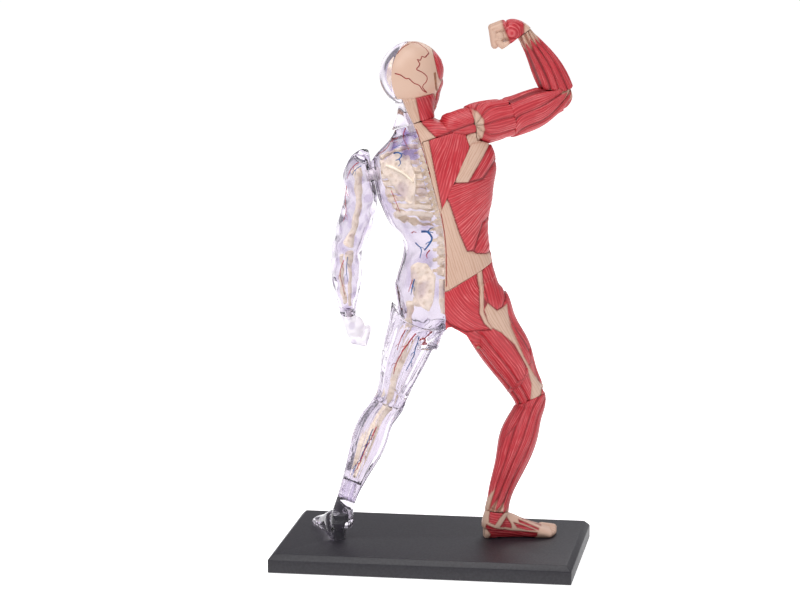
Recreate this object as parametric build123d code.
"""Desk-top anatomy figure: one half is opaque muscle, the other clear plastic over bones.

The figure is laid out in its own frame: X to its right, Y the way its chest faces, Z up.
Everything but the base is then turned by FIGURE_TURN about the vertical onto the base.
"""

import math
import os

from build123d import *

# ---- driving dimensions, mm and degrees ----
BASE_LENGTH = 150.0
BASE_DEPTH = 94.0
BASE_THICKNESS = 9.2
BASE_CHAMFER = 2.65
FIGURE_TURN = 8.8  # the figure stands turned a little on its base
WALL = 1.8  # moulded wall of the clear and muscle shells
SPLIT_GAP = 0.12  # gap between pieces that are pressed together
JOINT_GAP = 0.3  # gap between pieces that turn against each other
PEG_CLEARANCE = 0.05  # radial clearance of a turning peg
FOOT_PEG_SIDE = 5.4
FOOT_PEG_HEIGHT = 12.0
FAR = 1200.0  # larger than the figure, for cutting blocks

# ---- where the figure's joints lie ----
HIP_RIGHT = Vector(22.6, 4, 130.4)
KNEE_RIGHT = Vector(49.3, 19.5, 76.0)
ANKLE_RIGHT = Vector(32.2, 0, 22.6)
HIP_LEFT = Vector(-6.2, 5, 129.2)
KNEE_LEFT = Vector(-21.9, 21.5, 73.6)
ANKLE_LEFT = Vector(-43.4, -2, 28.9)
SHOULDER_RIGHT = Vector(17.6, 5.8, 216.1)
SHOULDER_RIGHT_AXIS = Vector(0.926, 0.341, 0.163).normalized()
ELBOW_RIGHT = Vector(61.6, 22.4, 229.6)
WRIST_RIGHT = Vector(45.4, 23, 260.4)
SHOULDER_LEFT = Vector(-29.3, 4.5, 192.2)
SHOULDER_LEFT_AXIS = Vector(-0.983, 0, -0.183).normalized()
WRIST_LEFT = Vector(-42.0, 27.6, 118.0)
NECK_SEAM = Vector(-9.2, 4.0, 217.6)
NECK_AXIS = Vector(-0.30, 0.12, 0.945).normalized()
HEAD_CENTRE = Vector(-10.2, 8.0, 241.4)
HEAD_TURN = -35.0  # the face looks this far to the figure's right
TORSO_PARTING = 4.0  # depth of the plane between the front and back shells

# The line that parts muscle from clear plastic, as (x, z), from crotch to nape.
MIDLINE = [
    (7.0, 60),
    (6.6, 116),
    (6.0, 134),
    (5.7, 158),
    (3.7, 173.4),
    (-0.3, 188.4),
    (-5.8, 208.6),
    (-9.8, 218.4),
    (-12.6, 224),
    (-15.6, 232),
]


def half_space(point, normal):
    """A block that fills everything on the side the normal points to."""
    block = Box(FAR, FAR, FAR, align=(Align.CENTER, Align.CENTER, Align.MIN))
    return Plane(origin=point, z_dir=normal) * block


def across(direction):
    """The direction across a limb, seen from behind the figure."""
    return Vector(0, 1, 0).cross(direction).normalized()


def oval(station, direction):
    """An oval square to a direction; its seam lies at the front or back."""
    x, y, z, half_width, half_depth = station
    plane = Plane(origin=(x, y, z), x_dir=across(direction).cross(direction), z_dir=direction)
    return plane * Ellipse(half_depth, half_width)


def limb(stations, inset=0.0):
    """A smooth solid through ovals set square to the line of their centres."""
    centres = [Vector(*station[:3]) for station in stations]
    faces = []
    for i, (x, y, z, half_width, half_depth) in enumerate(stations):
        before = centres[max(i - 1, 0)]
        after = centres[min(i + 1, len(stations) - 1)]
        shrunk = (x, y, z, half_width - inset, half_depth - inset)
        faces.append(oval(shrunk, (after - before).normalized()))
    return loft(faces)


def ball(centre, radius):
    return Pos(*centre) * Sphere(radius)


def ellipsoid(centre, radii):
    return Pos(*centre) * scale(Sphere(1), by=radii)


def rod(start, end, radius):
    start = Vector(*start)
    end = Vector(*end)
    length = (end - start).length
    rod_plane = Plane(origin=start, z_dir=(end - start).normalized())
    return rod_plane * Cylinder(radius, length, align=(Align.CENTER, Align.CENTER, Align.MIN))


def capsule(start, end, radius):
    return rod(start, end, radius) + ball(start, radius) + ball(end, radius)


def peg(centre, axis, radius, inward, outward):
    """A round peg through a seam, reaching inward and outward from it."""
    return rod(centre - axis * inward, centre + axis * outward, radius)


def joined(pieces):
    whole = pieces[0]
    for piece in pieces[1:]:
        whole = whole + piece
    return whole


# ---- outer form of the trunk: ovals that lean to the left above the waist ----
# (x, y, z, lean, half width, half depth)
TRUNK = [
    (7.6, 4, 106, 0, 19, 12),
    (8.0, 4, 118, 0, 26.5, 15.5),
    (8.1, 4, 128, 0, 28.2, 16.8),
    (6.8, 4, 140, 0, 24.9, 15.8),
    (6.7, 4, 150, 3, 22.2, 14.4),
    (6.3, 4, 161, 8, 21.1, 14.2),
    (4.2, 4, 173.3, 14, 25.6, 15.6),
    (2.2, 4, 186.5, 14, 29.6, 16.6),
    (-1.2, 4, 198.5, 15, 31.0, 15.8),
    (-4.8, 4, 207.0, 18, 27.0, 13.4),
    (-7.2, 4, 212.6, 19, 17.4, 10.6),
    (-8.9, 4, 216.6, 19, 10.9, 9.4),
    (-8.6, 4.4, 221.5, 12, 9.2, 9.0),
]


def trunk(inset, first=0, last=len(TRUNK)):
    faces = []
    for x, y, z, lean, half_width, half_depth in TRUNK[first:last]:
        up = Vector(-math.sin(math.radians(lean)), 0, math.cos(math.radians(lean)))
        plane = Plane(origin=(x, y, z), x_dir=across(up), z_dir=up)
        faces.append(plane * Ellipse(half_width - inset, half_depth - inset))
    return loft(faces)


# ---- outer form of the legs, hip to ankle ----
LEG_RIGHT = [
    (19.0, 4, 138, 13.0, 14.0),
    (23.2, 5, 128, 14.0, 15.0),
    (28.7, 7.4, 117, 12.9, 14.2),
    (36.2, 11.2, 103.5, 12.2, 12.8),
    (40.9, 13.8, 94.5, 10.6, 11.4),
    (45.0, 16.4, 86, 8.9, 9.8),
    (49.3, 19.5, 76.0, 7.9, 8.9),
    (47.9, 17.8, 69.0, 7.4, 8.5),
    (45.4, 15.2, 62.8, 8.6, 9.2),
    (42.5, 12.2, 54.7, 9.1, 9.6),
    (39.4, 8.7, 45.2, 7.7, 8.0),
    (35.6, 5.0, 35.7, 6.3, 6.6),
    (33.2, 1.8, 27.6, 5.6, 5.9),
    (31.9, 0.0, 20.5, 6.1, 6.3),
    (31.4, 0.0, 14.0, 6.4, 6.6),
]
LEG_LEFT = [
    (-4.6, 4, 138, 12.0, 14.0),
    (-7.2, 6, 126, 13.0, 15.0),
    (-9.4, 9.0, 113.1, 12.6, 14.0),
    (-12.6, 12.2, 104.0, 11.6, 12.4),
    (-15.2, 14.6, 95.5, 10.4, 11.0),
    (-17.8, 17.4, 86.5, 8.6, 9.8),
    (-21.9, 21.5, 73.6, 7.8, 8.9),
    (-26.2, 18.6, 67.4, 7.7, 8.4),
    (-30.4, 14.4, 60.0, 8.7, 9.0),
    (-33.4, 10.0, 51.8, 8.1, 8.8),
    (-36.7, 6.1, 44.2, 6.5, 7.2),
    (-40.0, 2.4, 36.8, 5.2, 5.8),
    (-42.9, -1.2, 29.9, 4.6, 5.2),
    (-44.6, -3.2, 23.5, 5.2, 6.0),
    (-45.6, -3.4, 16.0, 5.4, 6.4),
]
ARM_RIGHT = [
    (6.0, 3, 213.2, 7.0, 8.0),
    (14.0, 4.6, 215.4, 9.3, 9.6),
    (22.0, 7.0, 217.0, 10.3, 10.6),
    (31.0, 10.6, 218.6, 10.0, 10.6),
    (39.0, 13.8, 219.8, 9.7, 9.8),
    (46.6, 16.8, 221.8, 9.8, 9.6),
    (54.0, 19.6, 225.0, 8.8, 8.6),
    (61.6, 22.4, 229.0, 7.8, 7.6),
    (66.0, 24.0, 231.4, 6.4, 6.4),
]
FOREARM_RIGHT = [
    (66.0, 22.4, 222.0, 5.6, 5.6),
    (64.0, 22.4, 226.4, 7.4, 7.0),
    (62.0, 22.5, 232.0, 7.7, 7.4),
    (58.9, 22.8, 238.4, 7.7, 7.4),
    (54.8, 23.0, 245.9, 6.8, 6.6),
    (50.8, 23.0, 252.4, 5.2, 5.2),
    (47.3, 23.0, 257.3, 4.1, 4.4),
    (44.2, 23.0, 261.8, 3.7, 4.2),
]
ARM_LEFT = [
    (-31.8, 4.6, 203.0, 3.2, 5.0),
    (-33.4, 5.4, 199.6, 6.6, 7.6),
    (-34.8, 6.5, 194.0, 8.7, 9.3),
    (-35.6, 8.5, 183.9, 8.8, 9.4),
    (-36.4, 10.2, 175.6, 8.4, 8.8),
    (-38.4, 11.9, 167.3, 8.6, 8.6),
    (-40.8, 13.6, 159.0, 8.1, 8.2),
    (-42.8, 15.4, 151.6, 7.7, 7.8),
    (-43.0, 18.0, 144.6, 7.9, 7.6),
    (-42.8, 20.8, 137.4, 7.5, 7.0),
    (-42.8, 23.8, 128.8, 5.8, 5.6),
    (-42.6, 26.2, 121.8, 4.4, 4.6),
    (-42.0, 28.2, 116.2, 3.6, 4.2),
]


# ---- seams between the large pieces ----
HIP_BOWL = Vector(-0.4, 0, 139.2)  # centre of the round seam under the clear hip
HIP_BOWL_RADIUS = 22.4
HIP_SLANT = Vector(6.2, 0, 136.4)  # lowest point of the slanting seam over the muscle hip
HIP_SLANT_NORMAL = Vector(0.478, 0, -0.878)
KNEE_RIGHT_NORMAL = Vector(-0.43, 0.10, 0.90)
ANKLE_RIGHT_NORMAL = Vector(0.10, 0.12, 0.99)
DELTOID_END = 21.0  # how far the shoulder muscle reaches along the arm
DELTOID_SOCKET = 11.6  # radius left free in the trunk for the shoulder muscle
ELBOW_KNUCKLE = 7.6
ELBOW_PIN_RADIUS = 1.5
SHOULDER_PEG_RADIUS = 3.0
NECK_PEG_RADIUS = 3.0
NECK_PLUG = 4.6  # solid stub of neck that holds the neck peg
WRIST_PEG_RADIUS = 1.3


def midline_block(shift):
    """Everything to the right of the midline, moved by shift."""
    points = [(x + shift, z) for x, z in MIDLINE]
    with BuildSketch(Plane.XZ) as sketch:
        with BuildLine():
            edge = Spline(*points)
            Polyline(edge @ 1, (FAR, points[-1][1]), (FAR, points[0][1]), edge @ 0)
        make_face()
    return extrude(sketch.sketch, amount=FAR / 2, both=True)


def prism(outline):
    """A bar along the figure's depth with a straight-sided outline given as (x, z)."""
    return extrude(Plane.XZ * make_face(Polyline(*outline, close=True)), amount=FAR / 4, both=True)


def slice_of(form, point, normal):
    return form & half_space(point, normal)


right_of_midline = midline_block(SPLIT_GAP / 2)
right_with_gap = midline_block(-SPLIT_GAP / 2)
behind = half_space(Vector(0, TORSO_PARTING - SPLIT_GAP / 2, 0), Vector(0, -1, 0))
in_front = half_space(Vector(0, TORSO_PARTING + SPLIT_GAP / 2, 0), Vector(0, 1, 0))

trunk_form = trunk(0)
arm_right_form = limb(ARM_RIGHT)
shoulder_root = slice_of(arm_right_form, SHOULDER_RIGHT + SHOULDER_RIGHT_AXIS * 3, SHOULDER_RIGHT_AXIS * -1)
leg_right_form = limb(LEG_RIGHT)
leg_left_form = limb(LEG_LEFT)

bowl = Pos(*HIP_BOWL) * Rot(90, 0, 0) * Cylinder(HIP_BOWL_RADIUS, 100)
bowl_clear = Pos(*HIP_BOWL) * Rot(90, 0, 0) * Cylinder(HIP_BOWL_RADIUS + SPLIT_GAP, 100)
above_bowl = half_space(HIP_BOWL, Vector(0, 0, 1))

neck_cut = half_space(NECK_SEAM - NECK_AXIS * JOINT_GAP / 2, NECK_AXIS)
left_shoulder_cut = half_space(SHOULDER_LEFT - SHOULDER_LEFT_AXIS * JOINT_GAP / 2, SHOULDER_LEFT_AXIS)
socket_start = SHOULDER_RIGHT - SHOULDER_RIGHT_AXIS * JOINT_GAP / 2
deltoid_socket = rod(socket_start, socket_start + SHOULDER_RIGHT_AXIS * 40, DELTOID_SOCKET)

# ---- trunk shells ----
cavity = trunk(WALL, 0, len(TRUNK) - 1)
cavity = slice_of(cavity, NECK_SEAM - NECK_AXIS * NECK_PLUG, NECK_AXIS * -1)
cavity = slice_of(cavity, SHOULDER_LEFT - SHOULDER_LEFT_AXIS * 2.4, SHOULDER_LEFT_AXIS * -1)
cavity = slice_of(cavity, SHOULDER_RIGHT - SHOULDER_RIGHT_AXIS * 3.5, SHOULDER_RIGHT_AXIS * -1)
shell = trunk_form + shoulder_root - neck_cut - left_shoulder_cut - deltoid_socket - cavity
neck_peg = peg(NECK_SEAM, NECK_AXIS, NECK_PEG_RADIUS, 4.0, 6.0)
shoulder_peg_right = peg(SHOULDER_RIGHT, SHOULDER_RIGHT_AXIS, SHOULDER_PEG_RADIUS, 4.5, 8.0)
shoulder_peg_left = peg(SHOULDER_LEFT, SHOULDER_LEFT_AXIS, SHOULDER_PEG_RADIUS, 3.5, 3.6)
shell = shell - neck_peg - shoulder_peg_right - shoulder_peg_left

muscle_shell = (shell & right_of_midline) - half_space(HIP_SLANT, HIP_SLANT_NORMAL)
clear_shell = (shell - right_with_gap) & (bowl + above_bowl)
torso_front_muscle = muscle_shell & in_front
torso_front_clear = clear_shell & in_front
torso_back_clear = clear_shell & behind
torso_back = muscle_shell & behind


# The lower trapezius is a separate panel that lies in a recess of the back.
PANEL = [(-5.3, 210.0), (15.0, 215.8), (18.0, 207.4), (3.4, 175.0)]
PANEL_THICKNESS = 0.8
panel_skin = trunk_form - trunk(PANEL_THICKNESS)
recess_skin = trunk_form - trunk(PANEL_THICKNESS + JOINT_GAP)


def panel_prism(grow):
    """The panel's outline as a bar that runs straight out of the back."""
    middle = Vector(sum(x for x, z in PANEL) / 4, sum(z for x, z in PANEL) / 4)
    corners = []
    for x, z in PANEL:
        corner = Vector(x, z) + (Vector(x, z) - middle).normalized() * grow
        corners.append((corner.X, corner.Y))
    return extrude(Plane.XZ * make_face(Polyline(*corners, close=True)), amount=60)


right_of_panel_edge = midline_block(SPLIT_GAP / 2 + JOINT_GAP)
panel_stop = SHOULDER_RIGHT - SHOULDER_RIGHT_AXIS * JOINT_GAP
panel_region = slice_of(panel_prism(-JOINT_GAP), panel_stop, SHOULDER_RIGHT_AXIS * -1)
trapezius_panel = panel_skin & panel_region & right_of_panel_edge
torso_back_muscle = torso_back - (recess_skin & panel_prism(0))

# ---- hips and legs ----
# The gap between the legs, as (x, z): the seat of the trunk is rounded up to this outline.
LEG_GAP = [
    (1.0, 100.0),
    (2.6, 107.0),
    (5.0, 114.5),
    (7.5, 118.6),
    (9.5, 118.9),
    (13.0, 116.8),
    (17.0, 114.0),
    (21.0, 107.5),
    (24.0, 100.0),
]
seat_form = trunk_form - prism(LEG_GAP)
hips_form = seat_form + leg_right_form
thigh_right = hips_form & right_of_midline
slant_start = HIP_SLANT + HIP_SLANT_NORMAL * SPLIT_GAP
thigh_right = slice_of(thigh_right, slant_start, HIP_SLANT_NORMAL)
thigh_right = slice_of(thigh_right, KNEE_RIGHT + KNEE_RIGHT_NORMAL * SPLIT_GAP, KNEE_RIGHT_NORMAL)
thigh_cavity = slice_of(limb(LEG_RIGHT[1:6], WALL), slant_start + HIP_SLANT_NORMAL * WALL, HIP_SLANT_NORMAL)
thigh_right = thigh_right - thigh_cavity
shin_right = slice_of(leg_right_form, KNEE_RIGHT, KNEE_RIGHT_NORMAL * -1)
shin_right = slice_of(shin_right, ANKLE_RIGHT, ANKLE_RIGHT_NORMAL) - limb(LEG_RIGHT[7:13], WALL)


def through(point, axis, radius, reach):
    """A round bar centred on a point, reaching the same way along its axis on both sides."""
    return peg(point, axis, radius, reach, reach)


def parting(start, end):
    """Point and backward normal of the plane that parts a limb's back shell from its front."""
    along = (end - start).normalized()
    normal = along.cross(across(along)).normalized()
    return start, normal if normal.Y < 0 else normal * -1


def back_and_front(form, start, end):
    point, backward = parting(start, end)
    back = slice_of(form, point + backward * SPLIT_GAP / 2, backward)
    front = slice_of(form, point - backward * SPLIT_GAP / 2, backward * -1)
    return back, front


thigh_muscle_back, thigh_muscle_front = back_and_front(thigh_right, HIP_RIGHT, KNEE_RIGHT)
shin_muscle_back, shin_muscle_front = back_and_front(shin_right, KNEE_RIGHT, ANKLE_RIGHT)

KNEE_LEFT_NORMAL = Vector(0.33, -0.05, 0.94).normalized()
ANKLE_LEFT_NORMAL = Vector(0.37, 0.30, 0.88).normalized()
leg_left_cavity = limb(LEG_LEFT[:12], WALL)
leg_left = (seat_form + leg_left_form) - right_with_gap
thigh_left = leg_left - bowl_clear - above_bowl - leg_left_cavity
thigh_left = slice_of(thigh_left, KNEE_LEFT + KNEE_LEFT_NORMAL * SPLIT_GAP, KNEE_LEFT_NORMAL)
shin_left = slice_of(leg_left_form, KNEE_LEFT, KNEE_LEFT_NORMAL * -1)
shin_left = slice_of(shin_left, ANKLE_LEFT, ANKLE_LEFT_NORMAL) - leg_left_cavity
THIGH_PARTING_SHIFT = Vector(0, 0.7, 0)  # the clear thigh parts a little in front of its middle
thigh_clear_back, thigh_clear_front = back_and_front(
    thigh_left, HIP_LEFT + THIGH_PARTING_SHIFT, KNEE_LEFT + THIGH_PARTING_SHIFT
)
shin_clear_back, shin_clear_front = back_and_front(shin_left, KNEE_LEFT, ANKLE_LEFT)

# ---- right arm: shoulder muscle, upper arm, hinged forearm, fist ----
deltoid_end = SHOULDER_RIGHT + SHOULDER_RIGHT_AXIS * DELTOID_END
arm_right_start = SHOULDER_RIGHT + SHOULDER_RIGHT_AXIS * JOINT_GAP / 2
shoulder_bore = SHOULDER_PEG_RADIUS + PEG_CLEARANCE
arm_right = slice_of(arm_right_form, arm_right_start, SHOULDER_RIGHT_AXIS)
arm_right = arm_right - peg(SHOULDER_RIGHT, SHOULDER_RIGHT_AXIS, shoulder_bore, 4.5, 8.4)
deltoid_muscle = slice_of(arm_right, deltoid_end, SHOULDER_RIGHT_AXIS * -1)
upper_arm = slice_of(arm_right, deltoid_end + SHOULDER_RIGHT_AXIS * SPLIT_GAP, SHOULDER_RIGHT_AXIS)

upper_along = (ELBOW_RIGHT - Vector(39, 13.8, 219.8)).normalized()
fore_along = (WRIST_RIGHT - ELBOW_RIGHT).normalized()
elbow_axis = fore_along.cross(upper_along).normalized()  # towards the back of the figure
fold = (upper_along * -1 - fore_along).normalized()  # across the inside of the elbow
lap_gap = elbow_axis * JOINT_GAP / 2
knuckle = ball(ELBOW_RIGHT, ELBOW_KNUCKLE)
knuckle_room = ball(ELBOW_RIGHT, ELBOW_KNUCKLE + JOINT_GAP)
near_side = half_space(ELBOW_RIGHT + lap_gap, elbow_axis)
far_side = half_space(ELBOW_RIGHT - lap_gap, elbow_axis * -1)
near_room = half_space(ELBOW_RIGHT - lap_gap, elbow_axis)
far_room = half_space(ELBOW_RIGHT + lap_gap, elbow_axis * -1)

forearm_form = limb(FOREARM_RIGHT)
upper_shaft = slice_of(upper_arm, ELBOW_RIGHT, upper_along * -1)
upper_shaft = slice_of(upper_shaft, ELBOW_RIGHT + fold * JOINT_GAP / 2, fold)
upper_arm_muscle = (upper_shaft - (knuckle_room & near_room)) + (knuckle & far_side)
fore_shaft = slice_of(forearm_form, ELBOW_RIGHT, fore_along)
fore_shaft = slice_of(fore_shaft, ELBOW_RIGHT - fold * JOINT_GAP / 2, fold * -1)
forearm_muscle = (fore_shaft - (knuckle_room & far_room)) + (knuckle & near_side)
wrist_along = (Vector(*FOREARM_RIGHT[-1][:3]) - Vector(*FOREARM_RIGHT[-2][:3])).normalized()
forearm_muscle = slice_of(forearm_muscle, WRIST_RIGHT - wrist_along * JOINT_GAP / 2, wrist_along * -1)
elbow_pin = through(ELBOW_RIGHT, elbow_axis, ELBOW_PIN_RADIUS, 5.2)
upper_arm_muscle = upper_arm_muscle - elbow_pin
forearm_muscle = forearm_muscle - through(ELBOW_RIGHT, elbow_axis, ELBOW_PIN_RADIUS + PEG_CLEARANCE, 5.6)
wrist_peg_right = through(WRIST_RIGHT, wrist_along, WRIST_PEG_RADIUS, 3.0)
forearm_muscle = forearm_muscle - wrist_peg_right


def fist(palm_centre, palm_radii, knuckle_row, knuckle_at, middle_at, tip_at, finger, thumb, thumb_radius):
    """A closed hand: palm, four folded fingers in a row, and a thumb over them."""
    pieces = [ellipsoid(palm_centre, palm_radii)]
    for shift in knuckle_row:
        base = Vector(*knuckle_at) + Vector(0, shift, 0)
        middle = Vector(*middle_at) + Vector(0, shift, 0)
        tip = Vector(*tip_at) + Vector(0, shift, 0)
        pieces.append(capsule(base, middle, finger))
        pieces.append(capsule(middle, tip, finger * 0.95))
    for start, end in zip(thumb, thumb[1:]):
        pieces.append(capsule(start, end, thumb_radius))
    return joined(pieces)


FIST_RIGHT_THUMB = [(40.5, 17.6, 256.6), (35.0, 16.0, 254.4), (31.4, 17.2, 256.8)]
fist_right_form = fist(
    (38.8, 22.8, 260.8),
    (6.4, 6.8, 5.6),
    [-5.0, -1.7, 1.6, 4.9],
    (34.6, 22.6, 264.6),
    (29.4, 22.6, 262.6),
    (30.6, 22.6, 254.8),
    1.95,
    FIST_RIGHT_THUMB,
    1.75,
)
hand_muscle = fist_right_form + limb(
    [
        (46.4, 23, 258.8, 3.9, 4.3),
        (44.2, 23, 261.8, 3.8, 4.3),
        (41.0, 23, 263.2, 4.0, 5.4),
        (37.5, 22.8, 262.4, 4.4, 6.2),
    ]
)
hand_muscle = slice_of(hand_muscle, WRIST_RIGHT + wrist_along * JOINT_GAP / 2, wrist_along)
hand_muscle = hand_muscle - through(WRIST_RIGHT, wrist_along, WRIST_PEG_RADIUS + PEG_CLEARANCE, 3.3)

# ---- left arm: one bent clear shell in two halves, and a frosted fist ----
arm_left_form = limb(ARM_LEFT)
left_wrist_along = (Vector(*ARM_LEFT[-1][:3]) - Vector(*ARM_LEFT[-3][:3])).normalized()
ARM_WALL = 1.5
arm_cavity_start = SHOULDER_LEFT + SHOULDER_LEFT_AXIS * 2.4
arm_cavity = slice_of(limb(ARM_LEFT[1:12], ARM_WALL), arm_cavity_start, SHOULDER_LEFT_AXIS)
arm_left = slice_of(arm_left_form, SHOULDER_LEFT + SHOULDER_LEFT_AXIS * JOINT_GAP / 2, SHOULDER_LEFT_AXIS)
arm_left = slice_of(arm_left, WRIST_LEFT - left_wrist_along * JOINT_GAP / 2, left_wrist_along * -1)
arm_left = arm_left - arm_cavity
wrist_peg_left = through(WRIST_LEFT, left_wrist_along, WRIST_PEG_RADIUS, 3.0)
arm_left = arm_left - peg(SHOULDER_LEFT, SHOULDER_LEFT_AXIS, SHOULDER_PEG_RADIUS + PEG_CLEARANCE, 4.5, 4.0)
arm_left = arm_left - wrist_peg_left
arm_clear_back, arm_clear_front = back_and_front(arm_left, Vector(-35, 8.4, 194), WRIST_LEFT)

FIST_LEFT_THUMB = [(-39.6, 34.8, 112.0), (-35.6, 36.4, 107.8), (-33.2, 34.6, 104.8)]
hand_left = fist(
    (-38.6, 29.8, 110.0),
    (4.8, 6.0, 6.6),
    [-4.6, -1.5, 1.6, 4.7],
    (-39.6, 29.8, 104.6),
    (-34.2, 29.8, 103.4),
    (-32.6, 29.8, 109.4),
    1.8,
    FIST_LEFT_THUMB,
    1.7,
)
hand_left = hand_left + limb(
    [
        (-42.3, 27.4, 119.4, 3.7, 4.2),
        (-42.0, 28.2, 116.2, 3.6, 4.2),
        (-40.6, 29.0, 112.6, 3.9, 5.2),
        (-39.4, 29.4, 109.5, 4.2, 5.6),
    ]
)
hand_left = slice_of(hand_left, WRIST_LEFT + left_wrist_along * JOINT_GAP / 2, left_wrist_along)
hand_left = hand_left - through(WRIST_LEFT, left_wrist_along, WRIST_PEG_RADIUS + PEG_CLEARANCE, 3.3)

# ---- feet on square pegs ----
FLOOR = BASE_THICKNESS + SPLIT_GAP / 2


def foot(heel, toe_direction, stations, toes, toe_lift):
    """Ovals from heel to toes, with a small capsule for each toe; toes are (aside, from, to, radius)."""
    along = Vector(*toe_direction).normalized()
    aside = Vector(along.Y, -along.X, 0)
    ovals = []
    for reach, shift, half_width, top in stations:
        centre = Vector(*heel) + along * reach + aside * shift
        middle = FLOOR + top / 2 - 0.6
        ovals.append((centre.X, centre.Y, middle, half_width, top / 2 + 0.6))
    faces = []
    for x, y, z, half_width, half_height in ovals:
        plane = Plane(origin=(x, y, z), x_dir=aside, z_dir=along)
        faces.append(plane * Ellipse(half_width, half_height))
    pieces = [loft(faces)]
    for shift, start, end, radius in toes:
        begin = Vector(*heel) + along * start + aside * shift
        finish = Vector(*heel) + along * end + aside * shift
        knuckle = (begin.X, begin.Y, FLOOR + radius + toe_lift)
        pieces.append(capsule(knuckle, (finish.X, finish.Y, FLOOR + radius), radius))
    return joined(pieces)


# reach from the heel, shift towards the little toe or big toe, half width, height
FOOT_STATIONS = [
    (0.6, 0, 3.4, 6.0),
    (3.0, 0, 4.9, 9.0),
    (8.0, 0, 5.4, 12.5),
    (14.0, 0.1, 5.4, 12.0),
    (20.0, 0.3, 6.0, 9.2),
    (26.0, 0.5, 7.0, 6.8),
    (31.0, 0.6, 7.4, 5.0),
    (34.0, 0.6, 6.8, 3.8),
]
HEEL_RIGHT = (25.4, -0.6, 0)
HEEL_LEFT = (-47.2, -7.6, 0)
TOES_RIGHT = [
    (-5.0, 31.0, 36.8, 2.1),
    (-1.6, 32.0, 36.6, 1.6),
    (1.4, 31.6, 35.8, 1.5),
    (4.2, 30.6, 34.4, 1.45),
    (6.6, 29.0, 32.4, 1.4),
]
TOES_LEFT = [
    (5.6, 34.0, 40.6, 2.2),
    (2.1, 35.0, 40.6, 1.7),
    (-1.0, 34.6, 39.6, 1.6),
    (-3.8, 33.4, 38.0, 1.5),
    (-6.2, 31.6, 35.6, 1.4),
]
foot_right_form = foot(HEEL_RIGHT, (0.988, 0.152, 0), FOOT_STATIONS, TOES_RIGHT, 1.0)
LEFT_STRETCH = 1.1
left_stations = []
for reach, shift, half_width, top in FOOT_STATIONS:
    left_stations.append((reach * LEFT_STRETCH, -shift, half_width, top))
foot_left_form = foot(HEEL_LEFT, (-0.17, 0.985, 0), left_stations, TOES_LEFT, 1.0)
above_base = half_space(Vector(0, 0, FLOOR), Vector(0, 0, 1))


def foot_peg(x, y):
    bottom = BASE_THICKNESS - 4.0
    return Pos(x, y, bottom) * Rot(0, 0, -FIGURE_TURN) * Box(
        FOOT_PEG_SIDE, FOOT_PEG_SIDE, FOOT_PEG_HEIGHT + 4.0, align=(Align.CENTER, Align.CENTER, Align.MIN)
    )


foot_peg_right = foot_peg(30.4, 0.2)
foot_peg_left = foot_peg(-46.4, -2.8)
foot_right_top = ANKLE_RIGHT - ANKLE_RIGHT_NORMAL * SPLIT_GAP
foot_right_whole = slice_of(leg_right_form, foot_right_top, ANKLE_RIGHT_NORMAL * -1)
foot_muscle = ((foot_right_whole + foot_right_form) & above_base) - foot_peg_right
foot_left_whole = slice_of(leg_left_form, ANKLE_LEFT - ANKLE_LEFT_NORMAL * SPLIT_GAP, ANKLE_LEFT_NORMAL * -1)
foot_clear = ((foot_left_whole + foot_left_form) & above_base) - foot_peg_left

# ---- head: two halves of one form on the neck peg ----
SKULL_BASE = 230.5  # below this height the halves part along the neck, above it along the face's middle
head_place = Pos(*HEAD_CENTRE) * Rot(0, 0, HEAD_TURN)
head_right = Vector(math.cos(math.radians(HEAD_TURN)), math.sin(math.radians(HEAD_TURN)), 0)
FACE = [
    (0, 0.5, 6, 13.0, 16.0),
    (0, 1.2, 0, 13.6, 16.2),
    (0, 2.8, -6, 12.4, 14.8),
    (0, 5.0, -12, 10.6, 12.2),
    (0, 7.6, -17, 8.4, 9.4),
    (0, 9.6, -20, 5.4, 6.4),
]
NECK = [
    (-8.4, 3.8, 214.0, 12.2, 9.6),
    (-8.9, 4, 216.8, 10.6, 9.3),
    (-8.6, 4.4, 221.5, 9.2, 9.0),
    (-8.8, 5.5, 227, 8.9, 9.2),
    (-9.6, 6.5, 233, 9.0, 10.0),
]
CRANIUM = (14.8, 17.6, 16.0)
CRANIUM_MIDDLE = (0, -0.6, 0.4)


def cranium(inset):
    return head_place * ellipsoid(CRANIUM_MIDDLE, tuple(radius - inset for radius in CRANIUM))


head_form = cranium(0) + head_place * limb(FACE) + limb(NECK)
head_form = slice_of(head_form, NECK_SEAM + NECK_AXIS * JOINT_GAP / 2, NECK_AXIS) - cranium(2.6)
head_form = head_form - peg(NECK_SEAM, NECK_AXIS, NECK_PEG_RADIUS + PEG_CLEARANCE, 4.0, 6.5)
upper_block = half_space(Vector(0, 0, SKULL_BASE), Vector(0, 0, 1))
lower_block = half_space(Vector(0, 0, SKULL_BASE), Vector(0, 0, -1))
half_gap = head_right * SPLIT_GAP / 2
muscle_side = half_space(HEAD_CENTRE + half_gap, head_right) & upper_block
muscle_side = muscle_side + (right_of_midline & lower_block)
clear_taken = half_space(HEAD_CENTRE - half_gap, head_right) & upper_block
clear_taken = clear_taken + (right_with_gap & lower_block)
head_muscle_half = head_form & muscle_side
head_clear_half = head_form - clear_taken
skull_left = (cranium(3.6) - cranium(4.6)) - half_space(HEAD_CENTRE - head_right * 0.4, head_right)


# ---- skeleton inside the clear side ----
def midline_x(z):
    for (x_low, z_low), (x_high, z_high) in zip(MIDLINE, MIDLINE[1:]):
        if z_low <= z <= z_high:
            return x_low + (x_high - x_low) * (z - z_low) / (z_high - z_low)
    return MIDLINE[-1][0]


def bone(stations, ends=()):
    """A round bone through (x, y, z, radius) stations, with balls at its ends."""
    shaft = limb([(x, y, z, radius, radius) for x, y, z, radius in stations])
    return joined([shaft] + [ball(centre, radius) for centre, radius in ends])


SPINE_DEPTH = -1.6


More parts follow.
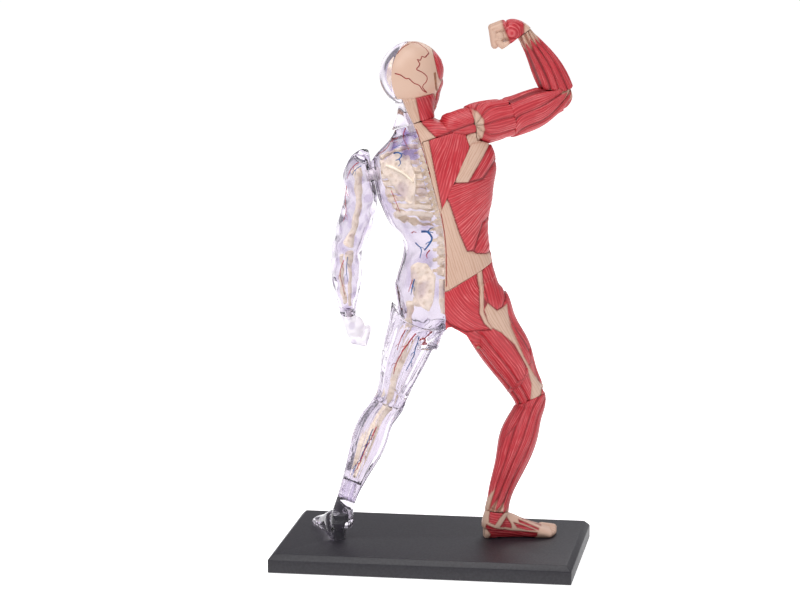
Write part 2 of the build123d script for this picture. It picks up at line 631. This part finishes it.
def vertebrae(bottom, top, count, radius, process):
    """A stack of vertebrae on a thin core: bodies, side processes and a rear process each."""
    step = (top - bottom) / count
    low = Vector(midline_x(bottom), SPINE_DEPTH, bottom)
    high = Vector(midline_x(top), SPINE_DEPTH, top)
    pieces = [rod(low, high, radius * 0.55)]
    along = (high - low).normalized()
    for i in range(count):
        z = bottom + step * (i + 0.5)
        middle = Vector(midline_x(z), SPINE_DEPTH, z)
        pieces.append(rod(middle - along * step * 0.36, middle + along * step * 0.36, radius))
        seat = Plane(origin=middle, x_dir=across(along), z_dir=along)
        side = Box(radius * 3.4, radius * 0.5, step * 0.3)
        rear = Box(radius * 0.4, process, step * 0.45)
        pieces.append(seat * Pos(0, radius * 0.9, 0) * side)
        pieces.append(Pos(middle.X, middle.Y - radius - process / 2 + 0.6, middle.Z) * rear)
    return joined(pieces)


spine_neck = vertebrae(206.6, 211.6, 2, 2.3, 2.2)
spine_thoracic = vertebrae(168.6, 206.2, 11, 2.8, 3.2)
spine_lumbar = vertebrae(142.6, 168.2, 5, 3.4, 3.0)

BONE_GAP = 0.6  # how far flat bones lie under the inside of the shell
flat_outer = trunk(WALL + BONE_GAP, 0, len(TRUNK) - 1)
flat_inner = trunk(WALL + BONE_GAP + 1.2, 0, len(TRUNK) - 1)
cage_outer = trunk(WALL + 2.4, 0, len(TRUNK) - 1)
cage_inner = trunk(WALL + 3.5, 0, len(TRUNK) - 1)
left_by = midline_block(-3.4)


RIB_COUNT = 8
RIB_STEP = 3.7
RIB_WIDTH = 2.0
rib_slope = Vector(0.10, 0.36, 0.93).normalized()
slabs = []
for i in range(RIB_COUNT):
    z = 171.5 + RIB_STEP * i
    slabs.append(Plane(origin=(midline_x(z), SPINE_DEPTH, z), z_dir=rib_slope) * Box(FAR, FAR, RIB_WIDTH))
cage_left = (cage_outer - cage_inner) - left_by
cage_left = slice_of(cage_left, SHOULDER_LEFT - SHOULDER_LEFT_AXIS * 4.4, SHOULDER_LEFT_AXIS * -1)
ribs_left = Compound([part for slab in slabs for part in (cage_left & slab).solids()])
breast_x = midline_x(190)
sternum = (cage_outer - cage_inner) & prism(
    [(breast_x + 5.4, 177), (breast_x + 8.6, 178), (breast_x - 0.4, 204), (breast_x - 6.6, 202.4)]
)
sternum = sternum & in_front
sternum = sternum & midline_block(-3.1)
clavicle_left = bone(
    [
        (-7.5, 11.6, 205.2, 1.2),
        (-15.0, 11.0, 204.4, 1.0),
        (-21.0, 7.0, 202.6, 1.0),
        (-25.6, 4.4, 200.4, 1.3),
    ]
)

SCAPULA = [
    (-25.4, 198.5),
    (-24.6, 194.5),
    (-11.2, 178.6),
    (-8.8, 178.2),
    (-8.2, 192.0),
    (-11.6, 203.2),
    (-19.0, 204.4),
]
scapula_left = ((flat_outer - flat_inner) & prism(SCAPULA) & behind) - left_by
ILIUM = [
    (1.5, 143.6),
    (-3.0, 149.4),
    (-7.4, 149.7),
    (-10.8, 147.2),
    (-10.6, 141.7),
    (-9.4, 134.0),
    (-5.4, 128.0),
    (-1.8, 126.0),
    (0.4, 131.0),
]
hip_skin = flat_outer - trunk(WALL + BONE_GAP + 1.7, 0, len(TRUNK) - 1)
hip_bone_left = (hip_skin & prism(ILIUM) & behind) - left_by
sacrum_skin = flat_outer - trunk(WALL + BONE_GAP + 3.4, 0, len(TRUNK) - 1)
SACRUM = [(5.2, 141.6), (3.2, 141.8), (3.0, 131), (4.2, 125.4), (5.8, 124.6)]
sacrum = sacrum_skin & prism(SACRUM) & behind

femur_left = bone(
    [
        (-11.0, 7.0, 126.0, 1.9),
        (-11.9, 9.0, 115.5, 1.75),
        (-13.9, 11.8, 104.5, 1.7),
        (-16.3, 14.6, 94.0, 1.7),
        (-18.6, 17.4, 85.5, 1.9),
        (-20.6, 20.0, 78.6, 2.5),
    ],
    [((-21.2, 20.7, 78.0), 3.6), ((-6.0, 4.8, 129.0), 3.2), ((-11.0, 7.0, 126.2), 2.4)],
)
femur_left = femur_left + rod((-11.0, 7.0, 126.2), (-6.0, 4.8, 129.0), 1.6)
patella_left = ellipsoid((-21.8, 27.0, 75.4), (2.5, 1.2, 2.8))
tibia_left = bone(
    [
        (-22.6, 20.8, 71.6, 3.4),
        (-25.2, 18.8, 67.6, 2.3),
        (-29.8, 14.6, 60.0, 1.7),
        (-33.2, 10.0, 51.6, 1.5),
        (-36.6, 6.2, 44.0, 1.4),
        (-39.0, 3.6, 39.2, 1.6),
    ]
)
fibula_left = bone(
    [(-30.8, 15.6, 64.0, 1.0), (-34.8, 11.2, 57.5, 0.8), (-38.3, 6.9, 48.8, 0.8), (-40.0, 4.0, 43.2, 0.8)]
)
humerus_left = bone(
    [
        (-37.2, 7.6, 191.6, 2.2),
        (-36.6, 9.0, 183.0, 1.5),
        (-36.8, 10.4, 175.6, 1.35),
        (-38.4, 12.0, 167.3, 1.35),
        (-40.6, 13.6, 159.6, 1.7),
        (-42.0, 14.8, 155.6, 2.7),
    ],
    [((-37.3, 7.4, 193.2), 3.0)],
)
ulna_left = bone(
    [(-41.4, 16.8, 151.4, 2.0), (-41.4, 18.6, 146, 1.3), (-41.4, 22.0, 136, 1.0), (-41.4, 26.0, 122.8, 0.9)]
)
radius_left = bone(
    [(-45.0, 16.8, 150.4, 1.4), (-45.1, 18.4, 146, 1.0), (-45.2, 21.6, 136.6, 1.0), (-43.8, 25.6, 123.8, 1.0)]
)

# ---- base ----
turn = Rot(0, 0, FIGURE_TURN)
base_block = Box(BASE_LENGTH, BASE_DEPTH, BASE_THICKNESS, align=(Align.CENTER, Align.CENTER, Align.MIN))
base_block = chamfer(base_block.edges().group_by(Axis.Z)[-1], BASE_CHAMFER)
base_plate = base_block - turn * foot_peg_right - turn * foot_peg_left

FIGURE_NODES = {
    "foot_peg_right": foot_peg_right,
    "foot_peg_left": foot_peg_left,
    "foot_muscle": foot_muscle,
    "shin_muscle_back": shin_muscle_back,
    "shin_muscle_front": shin_muscle_front,
    "thigh_muscle_back": thigh_muscle_back,
    "thigh_muscle_front": thigh_muscle_front,
    "torso_back_muscle": torso_back_muscle,
    "torso_front_muscle": torso_front_muscle,
    "trapezius_panel": trapezius_panel,
    "head_muscle_half": head_muscle_half,
    "deltoid_muscle": deltoid_muscle,
    "upper_arm_muscle": upper_arm_muscle,
    "forearm_muscle": forearm_muscle,
    "hand_muscle": hand_muscle,
    "foot_clear": foot_clear,
    "shin_clear_back": shin_clear_back,
    "shin_clear_front": shin_clear_front,
    "thigh_clear_back": thigh_clear_back,
    "thigh_clear_front": thigh_clear_front,
    "torso_back_clear": torso_back_clear,
    "torso_front_clear": torso_front_clear,
    "head_clear_half": head_clear_half,
    "arm_clear_back": arm_clear_back,
    "arm_clear_front": arm_clear_front,
    "hand_frosted": hand_left,
    "neck_peg": neck_peg,
    "shoulder_peg_right": shoulder_peg_right,
    "shoulder_peg_left": shoulder_peg_left,
    "elbow_pin": elbow_pin,
    "wrist_peg_right": wrist_peg_right,
    "wrist_peg_left": wrist_peg_left,
    "skull_left": skull_left,
    "spine_neck": spine_neck,
    "spine_thoracic": spine_thoracic,
    "spine_lumbar": spine_lumbar,
    "ribs_left": ribs_left,
    "sternum": sternum,
    "clavicle_left": clavicle_left,
    "scapula_left": scapula_left,
    "hip_bone_left": hip_bone_left,
    "sacrum": sacrum,
    "femur_left": femur_left,
    "patella_left": patella_left,
    "tibia_left": tibia_left,
    "fibula_left": fibula_left,
    "humerus_left": humerus_left,
    "ulna_left": ulna_left,
    "radius_left": radius_left,
}

os.makedirs("parts", exist_ok=True)
export_step(base_plate, "parts/base_plate.step")
for name, form in FIGURE_NODES.items():
    export_step(turn * form, f"parts/{name}.step")
